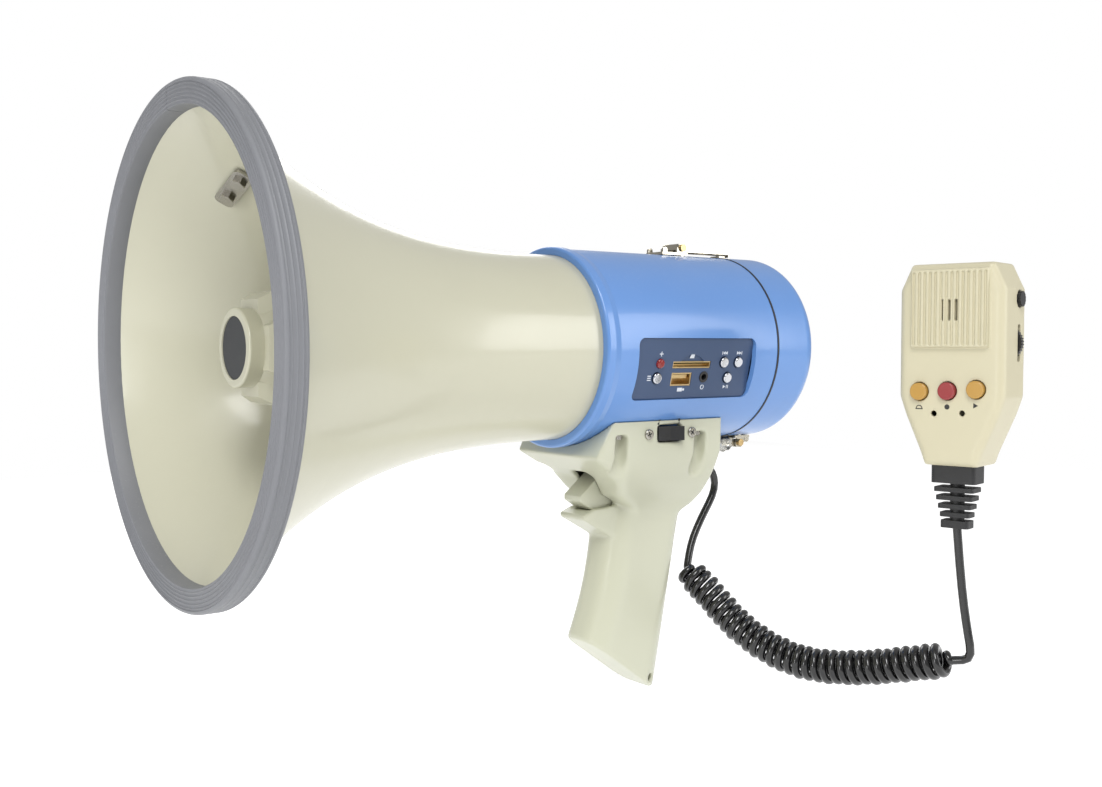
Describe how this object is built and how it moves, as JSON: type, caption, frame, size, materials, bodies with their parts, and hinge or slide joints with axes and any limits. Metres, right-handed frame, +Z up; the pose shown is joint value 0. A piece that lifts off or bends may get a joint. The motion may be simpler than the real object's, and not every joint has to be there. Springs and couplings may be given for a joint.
{
  "type": "handheld megaphone",
  "caption": "Handheld megaphone with folded horn, pistol grip and trigger, player panel, battery case and a corded hand microphone.",
  "frame": {"origin": "middle of the pistol grip, 120 mm below the horn's axis and 256 mm behind its mouth", "axes": "+X from the horn's mouth towards the rear cover, +Y towards the left side away from the control panel, +Z up"},
  "size_m": [0.376, 0.2916, 0.306],
  "materials": {
    "horn_cream": "moulded, semi-matt",
    "guard_grey": "soft moulded PVC, matt",
    "disc_charcoal": "matt",
    "steel": "zinc plated",
    "diaphragm_film": "thin pressed film",
    "housing_blue": "moulded, satin gloss",
    "black_rubber": "matt",
    "latch_plate": "bright nickel plate",
    "latch_rivet": "polished",
    "panel_slate": "fine satin",
    "circuit_board": "solder resist, satin",
    "lamp_red": "clear tinted",
    "gilt": "thin gilt plate",
    "black_plastic": "moulded, satin gloss",
    "chrome_button": "plated",
    "cell_sleeve": "printed sleeve with no marks",
    "grip_cream": "moulded, semi-matt",
    "mic_cream": "moulded, semi-matt",
    "button_amber": "moulded, satin gloss",
    "button_red": "moulded, satin gloss",
    "capsule_metal": "pressed can",
    "black_cord": "glossy jacket",
    "clear_film": "thin clear film, creased"
  },
  "bodies": {
    "body": {"amplifier_board": "circuit_board", "aux_socket": "black_plastic", "card_socket": "gilt", "control_panel": "panel_slate", "cord_gland": "black_rubber", "cord_lead": "black_cord", "curly_cord": "black_cord", "driver_diaphragm": "diaphragm_film", "driver_frame": "steel", "driver_magnet": "steel", "grip_left_shell": "grip_cream", "grip_right_shell": "grip_cream", "handle_screws": "steel", "horn_bell": "horn_cream", "horn_screws": "steel", "lower_latch_catch": "latch_plate", "main_housing": "housing_blue", "mic_back_shell": "mic_cream", "mic_board": "circuit_board", "mic_capsule": "capsule_metal", "mic_front_shell": "mic_cream", "mic_lead": "black_cord", "mic_screws": "steel", "mic_strain_relief": "black_rubber", "player_board": "circuit_board", "reflector": "horn_cream", "reflector_disc": "disc_charcoal", "rim_guard": "guard_grey", "rocker_switch": "black_plastic", "seam_gasket": "black_rubber", "status_led": "lamp_red", "strap_bolts": "steel", "strap_lug": "steel", "strap_plate": "steel", "tone_tube": "horn_cream", "top_latch_base": "latch_plate", "top_latch_pin": "latch_rivet", "trigger_spring": "steel", "trigger_switch": "black_plastic", "usb_socket": "gilt"},
    "strap_ring": {"strap_ring": "steel"},
    "top_latch_lever": {"top_latch_lever": "latch_plate"},
    "rear_cover": {"rear_cover": "housing_blue", "top_latch_catch": "latch_plate", "lower_latch_base": "latch_plate", "lower_latch_pin": "latch_rivet"},
    "lower_latch_lever": {"lower_latch_lever": "latch_plate"},
    "battery_tray": {"battery_tray": "black_plastic", "battery_cells": "cell_sleeve"},
    "mode_button": {"mode_button": "chrome_button"},
    "previous_button": {"previous_button": "chrome_button"},
    "next_button": {"next_button": "chrome_button"},
    "play_button": {"play_button": "chrome_button"},
    "rocker": {"rocker": "black_plastic"},
    "trigger": {"trigger": "grip_cream"},
    "siren_button": {"siren_button": "button_amber"},
    "record_button": {"record_button": "button_red"},
    "replay_button": {"replay_button": "button_amber"},
    "mic_wheel": {"mic_wheel": "black_plastic"},
    "mic_knob": {"mic_knob": "black_plastic"}
  },
  "joints": [
    {"name": "strap_ring_swing", "type": "hinge", "parent": "body", "child": "strap_ring", "pos_m": [-0.2102, 0.0313, 0.206], "axis": [-0.8565, 0.1765, 0.485], "range_deg": [-222, 2]},
    {"name": "latch_open", "type": "hinge", "parent": "body", "child": "top_latch_lever", "pos_m": [0.035, 0, 0.1767], "axis": [0, -1, 0], "range_deg": [0, 92]},
    {"name": "cover_slide", "type": "slide", "parent": "body", "child": "rear_cover", "axis": [1, 0, 0], "range_m": [0, 0.038]},
    {"name": "lower_latch_open", "type": "hinge", "parent": "rear_cover", "child": "lower_latch_lever", "pos_m": [0.082, 0, 0.0633], "axis": [0, -1, 0], "range_deg": [0, 92]},
    {"name": "tray_slide", "type": "slide", "parent": "body", "child": "battery_tray", "axis": [1, 0, 0], "range_m": [0, 0.0276]},
    {"name": "mode_button_press", "type": "slide", "parent": "body", "child": "mode_button", "axis": [0, 0.9744, 0.225], "range_m": [0, 0.001], "stiffness_N_per_m": 200, "springref_m": -0.0008},
    {"name": "previous_button_press", "type": "slide", "parent": "body", "child": "previous_button", "axis": [0, 0.9744, 0.225], "range_m": [0, 0.001], "stiffness_N_per_m": 200, "springref_m": -0.0008},
    {"name": "next_button_press", "type": "slide", "parent": "body", "child": "next_button", "axis": [0, 0.9744, 0.225], "range_m": [0, 0.001], "stiffness_N_per_m": 200, "springref_m": -0.0008},
    {"name": "play_button_press", "type": "slide", "parent": "body", "child": "play_button", "axis": [0, 0.9744, 0.225], "range_m": [0, 0.001], "stiffness_N_per_m": 200, "springref_m": -0.0008},
    {"name": "rocker_tilt", "type": "hinge", "parent": "body", "child": "rocker", "pos_m": [0, -0.0345, 0.074], "axis": [0, 0, 1], "range_deg": [0, 26]},
    {"name": "trigger_pull", "type": "slide", "parent": "body", "child": "trigger", "axis": [1, 0, 0], "range_m": [0, 0.0045], "stiffness_N_per_m": 500, "springref_m": -0.004, "deforming": ["trigger_spring"]},
    {"name": "siren_button_press", "type": "slide", "parent": "body", "child": "siren_button", "axis": [0.9732, 0.23, 0], "range_m": [0, 0.0015], "stiffness_N_per_m": 200, "springref_m": -0.0008},
    {"name": "record_button_press", "type": "slide", "parent": "body", "child": "record_button", "axis": [0.9732, 0.23, 0], "range_m": [0, 0.0015], "stiffness_N_per_m": 200, "springref_m": -0.0008},
    {"name": "replay_button_press", "type": "slide", "parent": "body", "child": "replay_button", "axis": [0.9732, 0.23, 0], "range_m": [0, 0.0015], "stiffness_N_per_m": 200, "springref_m": -0.0008},
    {"name": "wheel_turn", "type": "hinge", "parent": "body", "child": "mic_wheel", "pos_m": [0.10801, -0.16558, 0.1223], "axis": [-0.9732, -0.23, 0], "range_deg": [-135, 135]},
    {"name": "knob_turn", "type": "hinge", "parent": "body", "child": "mic_knob", "pos_m": [0.10966, -0.17259, 0.1443], "axis": [0.23, -0.9732, 0], "range_deg": [-135, 135]}
  ],
  "couplings": [
    {"joint": "cover_slide", "follows": "tray_slide", "ratio": 1.3314},
    {"joint": "latch_open", "follows": "tray_slide", "rad_per_m": 58.14},
    {"joint": "lower_latch_open", "follows": "tray_slide", "rad_per_m": 58.14}
  ]
}
